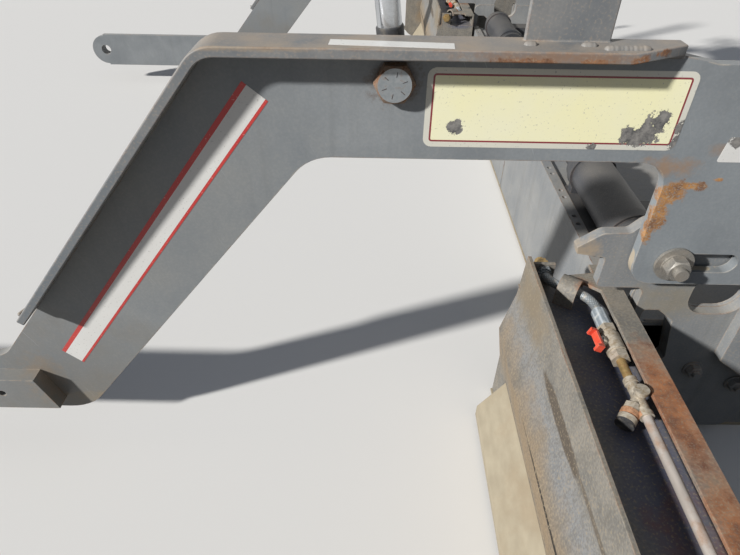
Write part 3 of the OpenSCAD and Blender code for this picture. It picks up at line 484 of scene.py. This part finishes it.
# Where the big decal has flaked off: centre and reach in metres
flakeSpots = [((-0.558, 1.27, 0.806), 0.020), ((-0.580, 1.27, 0.812), 0.024), ((-0.598, 1.27, 0.832), 0.020),
              ((-0.640, 1.27, 0.822), 0.016), ((-0.640, 1.27, 0.797), 0.018), ((-0.50, 1.27, 0.786), 0.008),
              ((-0.272, 1.27, 0.815), 0.014)]
# Cream ink, bleached towards white by the sun
creamVinyl = vinylSheet("fadedCreamVinyl", {
    "color": "#f2ecbc", "faded": "#eeeaca", "scuffColor": "#cdc8ab", "flakes": flakeSpots})
# Dark red ink, gone dull
redVinyl = vinylSheet("darkRedVinyl", {
    "color": "#7d2e33", "faded": "#8e3d40", "scuffColor": "#a3706c", "flakes": flakeSpots})
# White vinyl, chalky with age
whiteVinyl = vinylSheet("fadedWhiteVinyl", {
    "color": "#d3d0ca", "faded": "#dcdad4", "scuffColor": "#b9b6af",
    "flakes": [((-0.735, 1.27, 0.80), 0.012), ((-0.712, 1.27, 0.803), 0.008)]})
# The unprinted rim, grey with grime that creeps under it
rimVinyl = vinylSheet("greyRimVinyl", {
    "color": "#cfccc0", "faded": "#d8d4c4", "scuffColor": "#b1aea5", "flakes": flakeSpots})
# Bright red ink, rubbed pale in spots
brightRedVinyl = vinylSheet("brightRedVinyl", {
    "color": "#b22b2c", "faded": "#c2423c", "scuffColor": "#cf8079",
    "flakes": [((0.44, 1.27, 0.31), 0.004)]})

# The finish of each kind of piece, the same on both sides
finishOfKind = {
    "main_frame": frameEnamel, "main_sole": soleSteel, "guide_sleeves": frameEnamel, "hanger": frameEnamel,
    "hanger_pad": frameEnamel, "vibrator": blackEnamel, "walkway": blackEnamel, "control_box": frameEnamel,
    "pivot_bolt": screwSteel, "depth_nut": frameEnamel, "ext_cylinder": blackEnamel,
    "crown_turnbuckle": screwSteel, "ext_frame": boardEnamelAndShade, "ext_toe": soleSteel, "ext_sole": soleSteel,
    "ext_guides": tubeSteel, "ext_rod": rodChrome, "gas_line": zincPipe, "gas_valve": nickelPlate,
    "gas_hose": hoseBraid, "gate": boardEnamelAndShade, "gate_jacks": screwSteel, "arm": armEnamel,
    "arm_flange": flangeEnamel, "tow_bar": armEnamel, "lift_bolt": boltSteel, "depth_trunnion": frameEnamel,
    "depth_screw": screwSteel, "lift_rod": rodChrome, "lift_barrel": blackEnamel,
}
print("finishes made")


# Pieces

bodyOf = {node: body for body, held in frame["record"]["behaviour"]["bodies"].items() for node in held}
slotOf = {part["node"]: part["material_slot"] for part in frame["record"]["subparts"]}
# The model's origin is this many millimetres in front of the drawing's
shift = 173.0


def at(x, y, z):
    # A point of the drawing, in millimetres, as a point of the model
    return Vector(((x - shift) * mm, y * mm, z * mm))


def kindOf(nodeName):
    for side in sides:
        nodeName = nodeName.removesuffix("_" + side)
    return nodeName


def addPiece(name, build, materials, body, slotName, crease=38):
    bmesh.ops.recalc_face_normals(build, faces=build.faces)
    for face in build.faces:
        face.smooth = True
    for edge in build.edges:
        edge.smooth = len(edge.link_faces) == 2 and edge.calc_face_angle(0) < math.radians(crease)
    mesh = bpy.data.meshes.new(name)
    build.to_mesh(mesh)
    build.free()
    piece = bpy.data.objects.new(name, mesh)
    bpy.context.scene.collection.objects.link(piece)
    for material in materials:
        mesh.materials.append(material)
    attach(piece, body)
    return piece


# Plates and forgings whose cut edges are broken: kind to the width of the edge in millimetres
brokenEdges = {
    "arm": 1.6, "arm_flange": 2.6, "tow_bar": 2.0, "hanger": 2.2, "hanger_pad": 1.5, "ext_frame": 1.0,
    "lift_bolt": 1.2, "pivot_bolt": 1.0, "depth_trunnion": 1.5, "depth_nut": 1.5, "gas_valve": 0.7,
    "gas_hose": 0.7, "control_box": 2.0, "gate": 1.2, "gate_jacks": 1.0, "depth_screw": 1.0, "main_sole": 1.5,
    "ext_sole": 1.5, "ext_toe": 1.5, "lift_barrel": 1.5, "lift_rod": 1.2, "crown_turnbuckle": 1.2,
    "vibrator": 1.2, "ext_cylinder": 1.2,
}

# The shutoff valve and the regulator that hangs from its tee, on the left side, in millimetres. The handle
# leans 70 degrees off upright; along the regulator, its rings start at 32.5 and its rubber end at 57
valve = {
    "stem": (-440, 1354.9, 418), "tee": (-440, 1484.9, 418), "handleLean": 70, "handleFrom": 32.5,
    "handleHalf": 30, "hungTurn": 52, "hungLean": 102, "hungFrom": 46, "ringsFrom": 32.5, "metalFrom": 47.5,
    "rubberFrom": 57, "clearOfPipe": 10, "nippleFrom": 1397, "nippleTo": 1443.2,
}
handleLean = math.radians(valve["handleLean"])
handleWay = Vector((math.sin(handleLean), 0, math.cos(handleLean)))
regulatorWay = (Matrix.Rotation(math.radians(valve["hungTurn"]), 3, "Z")
                @ Matrix.Rotation(math.radians(valve["hungLean"]), 3, "Y") @ Vector((0, 0, 1)))


def mirrored(point, sign):
    # A point of the drawing on the left side, or its twin on the right
    return at(point[0], point[1] * sign, point[2])


def cutRegulator(build, sign):
    # A cut round the regulator's last ring, between its metal and its rubber end
    way = Vector((regulatorWay.x, regulatorWay.y * sign, regulatorWay.z))
    tee = mirrored(valve["tee"], sign)
    hung = [face for face in build.faces if (face.calc_center_median() - tee).dot(way) > valve["hungFrom"] * mm
            and face.calc_center_median().x > tee.x + valve["clearOfPipe"] * mm]
    cut = set(hung)
    for face in hung:
        cut.update(face.edges, face.verts)
    bmesh.ops.bisect_plane(build, geom=list(cut), dist=1e-7, plane_co=tee + way * valve["rubberFrom"] * mm,
                           plane_no=way)


def breakEdges(nodeName, width):
    # A merged copy of the node whose sharp edges are rounded over
    build = bmesh.new()
    build.from_mesh(nodes[nodeName].data)
    bmesh.ops.remove_doubles(build, verts=build.verts, dist=0.00002)
    bmesh.ops.dissolve_limit(build, angle_limit=math.radians(0.6), verts=build.verts, edges=build.edges)
    if kindOf(nodeName) == "gas_valve":
        cutRegulator(build, -1 if nodeName.endswith("right") else 1)
    piece = addPiece(nodeName + "_finish", build, [finishOfKind[kindOf(nodeName)]], bodyOf[nodeName],
                     slotOf[nodeName])
    for edge in piece.data.edges:
        edge.use_edge_sharp = False
    bevel = piece.modifiers.new("brokenEdge", "BEVEL")
    bevel.limit_method = "ANGLE"
    bevel.angle_limit = math.radians(35)
    bevel.width = width * mm
    bevel.segments = 2
    bevel.use_clamp_overlap = True
    bevel.miter_outer = "MITER_ARC"
    weighted = piece.modifiers.new("flatFaces", "WEIGHTED_NORMAL")
    weighted.weight = 100
    weighted.keep_sharp = True
    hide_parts(nodeName)
    return piece


finished = {}
for nodeName, node in nodes.items():
    kind = kindOf(nodeName)
    if kind in brokenEdges:
        finished[nodeName] = breakEdges(nodeName, brokenEdges[kind])
    else:
        node.data.materials.clear()
        node.data.materials.append(finishOfKind[kind])
        for face in node.data.polygons:
            face.material_index = 0
print("edges broken")

# The valve's handle is red. The regulator has rusty rings, then bare metal and a black end, and the nipple
# between valve and tee is brass gone brown. The numbers are places in the list of materials, nickel first
for side, sign in sides.items():
    valveMesh = finished["gas_valve_" + side].data
    for material in (redEnamel, stainedBrass, rustyRing, blackRubber):
        valveMesh.materials.append(material)
    for face in valveMesh.polygons:
        centre = Vector((face.center.x, face.center.y * sign, face.center.z))
        fromStem = (centre - at(*valve["stem"])) / mm
        fromTee = (centre - at(*valve["tee"])) / mm
        up, hung = fromStem.dot(handleWay), fromTee.dot(regulatorWay)
        if up > valve["handleFrom"] and abs(fromStem.y) < valve["handleHalf"]:
            face.material_index = 1
        elif hung > valve["ringsFrom"] and fromTee.x > valve["clearOfPipe"]:
            face.material_index = 3
            if hung > valve["metalFrom"]:
                face.material_index = 4 if hung > valve["rubberFrom"] - 0.2 else 0
        elif valve["nippleFrom"] < centre.y / mm < valve["nippleTo"]:
            face.material_index = 2
print("handles painted")

# The hose runs in the plane of its two bends. Its UV goes round it and along it, in metres, so that
# the braid follows the bends; the end next to the frame is brass, the other a pressed zinc ferrule.
# Left side, in millimetres; lead and tail reach past its two fittings
hose = {
    "z": 418.0, "inletX": -358.0, "startY": 1129.0, "bend": 60.0, "turn": math.radians(55), "middle": 37.63,
    "lead": 60.0, "tail": 62.0, "brassTo": 1128, "zincFrom": 1257,
}


def hoseRoute():
    # Points a millimetre apart down the middle of the hose: how far along, heading and place
    points = []
    along, heading, place = 0.0, 0.0, Vector((hose["inletX"], hose["startY"] - hose["lead"], 0))
    for turning, length in ((0, hose["lead"]), (1, hose["bend"] * hose["turn"]), (0, hose["middle"]),
                            (-1, hose["bend"] * hose["turn"]), (0, hose["tail"])):
        count = max(2, int(length))
        for part in range(count):
            points.append((along, heading, place.copy()))
            heading += turning * length / count / hose["bend"] / 2
            place += Vector((-math.sin(heading), math.cos(heading), 0)) * (length / count)
            heading += turning * length / count / hose["bend"] / 2
            along += length / count
    return points


route = hoseRoute()
for side, sign in sides.items():
    hoseMesh = finished["gas_hose_" + side].data
    hoseMesh.materials.append(crimpedZinc)
    hoseMesh.materials.append(stainedBrass)
    uvLayer = hoseMesh.uv_layers.new(name="around")
    spots = {}
    for vertex in hoseMesh.vertices:
        flat = Vector((vertex.co.x / mm + shift, vertex.co.y * sign / mm, 0))
        near = min(route, key=lambda point: (point[2] - flat).length_squared)
        outward = Vector((math.cos(near[1]), math.sin(near[1]), 0))
        turn = math.atan2(vertex.co.z / mm - hose["z"], (flat - near[2]).dot(outward)) / math.tau
        spots[vertex.index] = (turn, near[0] * mm)
    for face in hoseMesh.polygons:
        turns = [spots[hoseMesh.loops[loop].vertex_index] for loop in face.loop_indices]
        seam = max(turn for turn, along in turns) - min(turn for turn, along in turns) > 0.5
        for loop, (turn, along) in zip(face.loop_indices, turns):
            uvLayer.data[loop].uv = (turn + 1 if seam and turn < 0 else turn, along)
        across = face.center.y * sign / mm
        face.material_index = 2 if across < hose["brassTo"] else 1 if across > hose["zincFrom"] else 0
print("hoses braided")

# The lift bolt's flanks have rusted, and its face has six short radial marks. In millimetres
boltMarks = {
    "head": (0, 1292.1, 889), "count": 6, "firstTurn": 20, "fromMiddle": 16.5, "size": (8.0, 0.6, 1.1),
    "edge": 0.2,
}
for side, sign in sides.items():
    bolt = finished["lift_bolt_" + side]
    bolt.data.materials.append(boltRust)
    for face in bolt.data.polygons:
        if abs(face.normal.y) < 0.8:
            face.material_index = 1
    marks = bmesh.new()
    for turn in range(boltMarks["count"]):
        spoke = Matrix.Rotation(math.radians(boltMarks["firstTurn"] + 360 / boltMarks["count"] * turn), 4, "Y")
        bmesh.ops.create_cube(marks, size=1.0, matrix=(
            Matrix.Translation(mirrored(boltMarks["head"], sign)) @ spoke
            @ Matrix.Translation((boltMarks["fromMiddle"] * mm, 0, 0))
            @ Matrix.Diagonal([length * mm for length in boltMarks["size"]] + [1.0])))
    bmesh.ops.bevel(marks, geom=marks.edges[:], offset=boltMarks["edge"] * mm, segments=1, profile=0.5,
                    affect="EDGES", material=-1)
    # The marks are black
    addPiece("bolt_marks_" + side, marks, [blackEnamel], "tow_arm_" + side, "worn_steel")
print("bolts rusted")

# A sleeve of dark rubber round the foot of the chrome rod, and the nut and gasket under the handle.
# In millimetres: start and length are measured along the rod or the valve's stem
rodSleeve = {"foot": (0, 1218, 889), "lean": 7.5, "start": 30.0, "length": 37.6, "radius": 21.5, "edge": 2.0}
stemRings = {
    "stem_nut_": {"start": 22.5, "length": 6.5, "radius": 11.0, "flats": 6, "edge": 0.6, "finish": nickelPlate},
    "stem_gasket_": {"start": 29.0, "length": 3.0, "radius": 10.0, "flats": 32, "edge": 0.6,
                     "finish": blackRubber},
}


def roundBar(way, look, flats, segments):
    # A round or many-sided bar along way's Z, its rims rounded
    build = bmesh.new()
    radius, length = look["radius"] * mm, look["length"] * mm
    bmesh.ops.create_cone(build, segments=flats, radius1=radius, radius2=radius, depth=length, cap_ends=True,
                          matrix=way @ Matrix.Translation((0, 0, look["start"] * mm + length / 2)))
    rims = [edge for edge in build.edges if edge.calc_face_angle(0) > math.radians(50)]
    bmesh.ops.bevel(build, geom=rims, offset=look["edge"] * mm, segments=segments, profile=0.5,
                    affect="EDGES", material=-1)
    return build


for side, sign in sides.items():
    rodWay = (Matrix.Translation(mirrored(rodSleeve["foot"], sign))
              @ Matrix.Rotation(math.radians(rodSleeve["lean"]), 4, "Y"))
    sleeve = roundBar(rodWay, rodSleeve, flats=40, segments=3)
    addPiece("rod_sleeve_" + side, sleeve, [blackRubber], "lift_rod_" + side, "black_paint")
    stemWay = Matrix.Translation(mirrored(valve["stem"], sign)) @ Matrix.Rotation(handleLean, 4, "Y")
    for name, look in stemRings.items():
        ring = roundBar(stemWay, look, look["flats"], segments=2)
        addPiece(name + side, ring, [look["finish"]], "extension_" + side, "gas_brass")
print("sleeves and nuts made")


# Decals: left arm only, as vinyl on the plate's face. Corners are x and z; all in millimetres
vinylThick, armFace = 0.4, 1270.0
decals = {
    "decal_cream": {"corners": [(-462, 911), (-50, 911), (-50, 783), (-462, 783)], "round": 14,
                    "border": 9, "line": 3, "sheet": creamVinyl, "lineSheet": redVinyl},
    "decal_stripe": {"corners": [(234, 885), (705, 288), (668, 251), (196, 854)], "round": 0,
                     "edgeLines": (9, 5), "sheet": whiteVinyl, "lineSheet": brightRedVinyl},
    "decal_small": {"corners": [(-546, 808), (-598, 808), (-598, 764), (-540, 764)], "round": 4,
                    "sheet": whiteVinyl, "lineSheet": whiteVinyl},
}


def layDecal(name, look):
    build = bmesh.new()
    corners = [build.verts.new(at(x, armFace + vinylThick, z)) for x, z in look["corners"]]
    build.faces.new(corners)
    if look["round"]:
        bmesh.ops.bevel(build, geom=corners, offset=look["round"] * mm, offset_type="OFFSET", segments=5,
                        profile=0.5, affect="VERTICES", material=-1)
    if "edgeLines" in look:
        # A line along each long edge, cut off the sheet
        for start, end, width in ((0, 1, look["edgeLines"][0]), (3, 2, look["edgeLines"][1])):
            (x0, z0), (x1, z1) = look["corners"][start], look["corners"][end]
            inward = Vector((-(z1 - z0), 0, x1 - x0)).normalized()
            middle = sum((Vector((x, 0, z)) for x, z in look["corners"]), Vector()) / 4
            inward *= 1 if (middle - Vector((x0, 0, z0))).dot(inward) > 0 else -1
            cut = at(x0, armFace, z0) + inward * width * mm
            bmesh.ops.bisect_plane(build, geom=build.verts[:] + build.edges[:] + build.faces[:], dist=1e-7,
                                   plane_co=cut, plane_no=inward)
            for part in build.faces:
                if (part.calc_center_median() - cut).dot(inward) < 0:
                    part.material_index = 1
    if "line" in look:
        for step, index in ((look["border"], 2), (look["line"], 1)):
            inner = max(build.faces, key=lambda f: f.calc_area())
            ring = bmesh.ops.inset_region(build, faces=[inner], thickness=step * mm, use_even_offset=True,
                                          use_boundary=True)
            for part in ring["faces"]:
                part.material_index = index
    outer = bmesh.ops.extrude_face_region(build, geom=list(build.faces))
    moved = [v for v in outer["geom"] if isinstance(v, bmesh.types.BMVert)]
    bmesh.ops.translate(build, verts=moved, vec=(0, -vinylThick * mm, 0))
    addPiece(name, build, [look["sheet"], look["lineSheet"], rimVinyl], "tow_arm_left", "frame_paint", crease=20)


for name, look in decals.items():
    layDecal(name, look)

# A strip of white vinyl along the top of the flange, a little askew
topStrip = {"middle": (7, 1296, 950.2), "askew": -3.4, "size": (178.0, 26.0, 0.5)}
stripBuild = bmesh.new()
bmesh.ops.create_cube(stripBuild, size=1.0, matrix=(
    Matrix.Translation(at(*topStrip["middle"])) @ Matrix.Rotation(math.radians(topStrip["askew"]), 4, "Z")
    @ Matrix.Diagonal([length * mm for length in topStrip["size"]] + [1.0])))
addPiece("decal_top", stripBuild, [whiteVinyl], "tow_arm_left", "frame_paint")
print("decals laid")


# Weld beads under enamel, rippled like fish scales, with dust between the ripples and rust where paint is thin
weldSteel = wornEnamel("paintedWeldBead", {
    "color": "#7a7a79", "light": "#8a8987", "mottleSize": 0.05, "grainSize": 0.002, "rustSize": 0.02,
    "edgeWidth": 0.003, "edgeWear": 0.3, "edgeColor": "#a39786", "dust": 0.8, "dustWalls": 0.3,
    "dustColor": "#9a8c7a", "streaks": 0.1, "streakColor": "#6a6a68", "rust": 0.33, "rustDark": "#664834",
    "rustLight": "#9c7152", "roughness": 0.5, "orangePeel": 0.5,
})


# Shares of a bead's radius: how far it runs past its line's ends, how long one puddle of metal is, how much
# the puddles differ and how high they ripple
bead = {
    "overrun": 0.6, "puddle": 0.9, "least": 0.94, "most": 1.04, "ripple": 0.07, "rows": 5, "round": 12, "seed": 17,
}


def weldLine(build, start, end, size, rng):
    # A grid rolled round the line, whose radius swells from puddle to puddle and closes at both ends
    run = end - start
    along = run.normalized()
    sideways = along.orthogonal().normalized()
    upwards = along.cross(sideways)
    start, reach = start - along * size * mm * bead["overrun"], run.length + size * mm * 2 * bead["overrun"]
    puddles = max(2, int(reach / (size * mm * bead["puddle"])))
    swell = [rng.uniform(bead["least"], bead["most"]) for puddle in range(puddles)]
    made = bmesh.ops.create_grid(build, x_segments=puddles * bead["rows"], y_segments=bead["round"], size=1.0)
    for vert in made["verts"]:
        part, turn = (vert.co.x + 1) / 2, (vert.co.y + 1) / 2 * math.tau
        puddle = min(int(part * puddles), puddles - 1)
        fromEnd = min(1.0, min(part, 1 - part) * reach / (size * mm))
        ripple = bead["ripple"] * math.sin(math.pi * (part * puddles - puddle))
        radius = size * mm * swell[puddle] * (1 - bead["ripple"] + ripple)
        radius *= math.sqrt(max(0.0, 1 - (1 - fromEnd) ** 2))
        vert.co = start + along * reach * part + (sideways * math.cos(turn) + upwards * math.sin(turn)) * radius


# Lines to weld on each side of the machine: body, size and the two ends in the drawing's millimetres
weldRuns = [
    ("tow_arm", 7.5, (-186, 1287, 947.5), (-198, 1287, 947.5)),
    ("tow_arm", 7.5, (-268, 1287, 947.5), (-284, 1287, 947.5)),
    ("tow_arm", 4.0, (-300, 1257, 951), (-200, 1257, 951)),
    ("tow_arm", 7.0, (-296, 1304, 948.5), (-356, 1301, 948.5)),
    ("tow_arm", 4.0, (-424, 1271, 933), (260, 1271, 933)),
    ("tow_arm", 4.5, (-846, 1271, 796), (-846, 1271, 848)),
    ("tow_arm", 5.0, (722, 1271, 419), (734, 1300, 419)),
    ("main_screed", 4.5, (-918, 1244, 527), (-842, 1244, 527)),
    ("main_screed", 4.5, (-918, 1244, 581), (-842, 1244, 581)),
    ("main_screed", 3.5, (-650, 1203, 346), (-580, 1203, 346)),
]
for side, sign in sides.items():
    rng = random.Random(bead["seed"])
    builds = {"tow_arm": bmesh.new(), "main_screed": bmesh.new()}
    for body, size, start, end in weldRuns:
        weldLine(builds[body], mirrored(start, sign), mirrored(end, sign), size, rng)
    for body, build in builds.items():
        bmesh.ops.remove_doubles(build, verts=build.verts, dist=0.00001)
        bodyName = body if body == "main_screed" else body + "_" + side
        addPiece(f"weld_{body}_{side}", build, [weldSteel], bodyName, "frame_paint", crease=80)
print("welds laid")


# Floor, light and camera

studio = {
    "floorColor": "#dcd9d3", "floorBounce": "#6f6c67", "floorSize": 30.0, "sunPower": 5.4, "sunAngle": 3.0,
    "skyPower": 0.23, "skyColor": "#d3e0f8", "backdrop": "#e3e1dc", "sunFrom": (0.764, 0.451, 0.46),
}
view = {
    # The focal length is in pixels of a frame 740 wide; pitch is degrees down, place is in metres
    "focalPixels": 556.0, "framePixels": 740.0, "pitch": 38.4, "roll": 1.0, "place": (-0.141, 2.12, 1.18),
}


def seenRays(tree):
    # 1 for the rays that show a backdrop: straight from the camera, off gloss or through glass
    rays = addNode(tree, "ShaderNodeLightPath")
    either = addNode(tree, "ShaderNodeMath", {"operation": "MAXIMUM"},
                     {0: (rays, "Is Camera Ray"), 1: (rays, "Is Glossy Ray")})
    return addNode(tree, "ShaderNodeMath", {"operation": "MAXIMUM"},
                   {0: (either, 0), 1: (rays, "Is Transmission Ray")})


def makeFloor():
    floorMesh = bpy.data.meshes.new("studioFloor")
    build = bmesh.new()
    bmesh.ops.create_grid(build, x_segments=1, y_segments=1, size=studio["floorSize"])
    build.to_mesh(floorMesh)
    build.free()
    floor = bpy.data.objects.new("studioFloor", floorMesh)
    bpy.context.scene.collection.objects.link(floor)
    material, tree, shader, place = newMaterial("paleFloor")
    # Pale where it is seen or mirrored, darker to the light that it throws back under the machine
    tone = mixColor(tree, (seenRays(tree), 0), studio["floorBounce"], studio["floorColor"])
    tree.links.new(tone.outputs[2], shader.inputs["Base Color"])
    shader.inputs["Roughness"].default_value = 0.9
    floorMesh.materials.append(material)


def makeLights():
    world = bpy.data.worlds.new("softSky")
    bpy.context.scene.world = world
    world.use_nodes = True
    tree = world.node_tree
    sky = tree.nodes["Background"]
    sky.inputs["Color"].default_value = hexColor(studio["skyColor"])
    sky.inputs["Strength"].default_value = studio["skyPower"]
    backdrop = addNode(tree, "ShaderNodeBackground", {"Color": hexColor(studio["backdrop"]), "Strength": 1.0})
    blend = addNode(tree, "ShaderNodeMixShader", links={0: (seenRays(tree), 0), 1: (sky, 0), 2: (backdrop, 0)})
    tree.links.new(blend.outputs[0], tree.nodes["World Output"].inputs["Surface"])
    sun = bpy.data.lights.new("softSun", "SUN")
    sun.energy = studio["sunPower"]
    sun.angle = math.radians(studio["sunAngle"])
    sunObject = bpy.data.objects.new("softSun", sun)
    # Low over the machine's front left corner
    sunObject.rotation_euler = Vector(studio["sunFrom"]).to_track_quat("Z", "Y").to_euler()
    bpy.context.scene.collection.objects.link(sunObject)


def makeCamera():
    lens = bpy.data.cameras.new("viewCamera")
    lens.sensor_width = 36.0
    lens.lens = view["focalPixels"] / view["framePixels"] * lens.sensor_width
    lens.clip_start = 0.02
    camera = bpy.data.objects.new("viewCamera", lens)
    pitch = math.radians(view["pitch"])
    back = Vector((0, math.cos(pitch), math.sin(pitch)))
    right = Vector((-1, 0, 0))
    up = back.cross(right)
    turn = Matrix((right, up, back)).transposed().to_4x4()
    roll = Matrix.Rotation(math.radians(view["roll"]), 4, "Z")
    camera.matrix_world = Matrix.Translation(view["place"]) @ turn @ roll
    bpy.context.scene.collection.objects.link(camera)
    bpy.context.scene.camera = camera


makeFloor()
makeLights()
makeCamera()
bpy.context.scene.view_settings.view_transform = "Standard"
print("stage made")
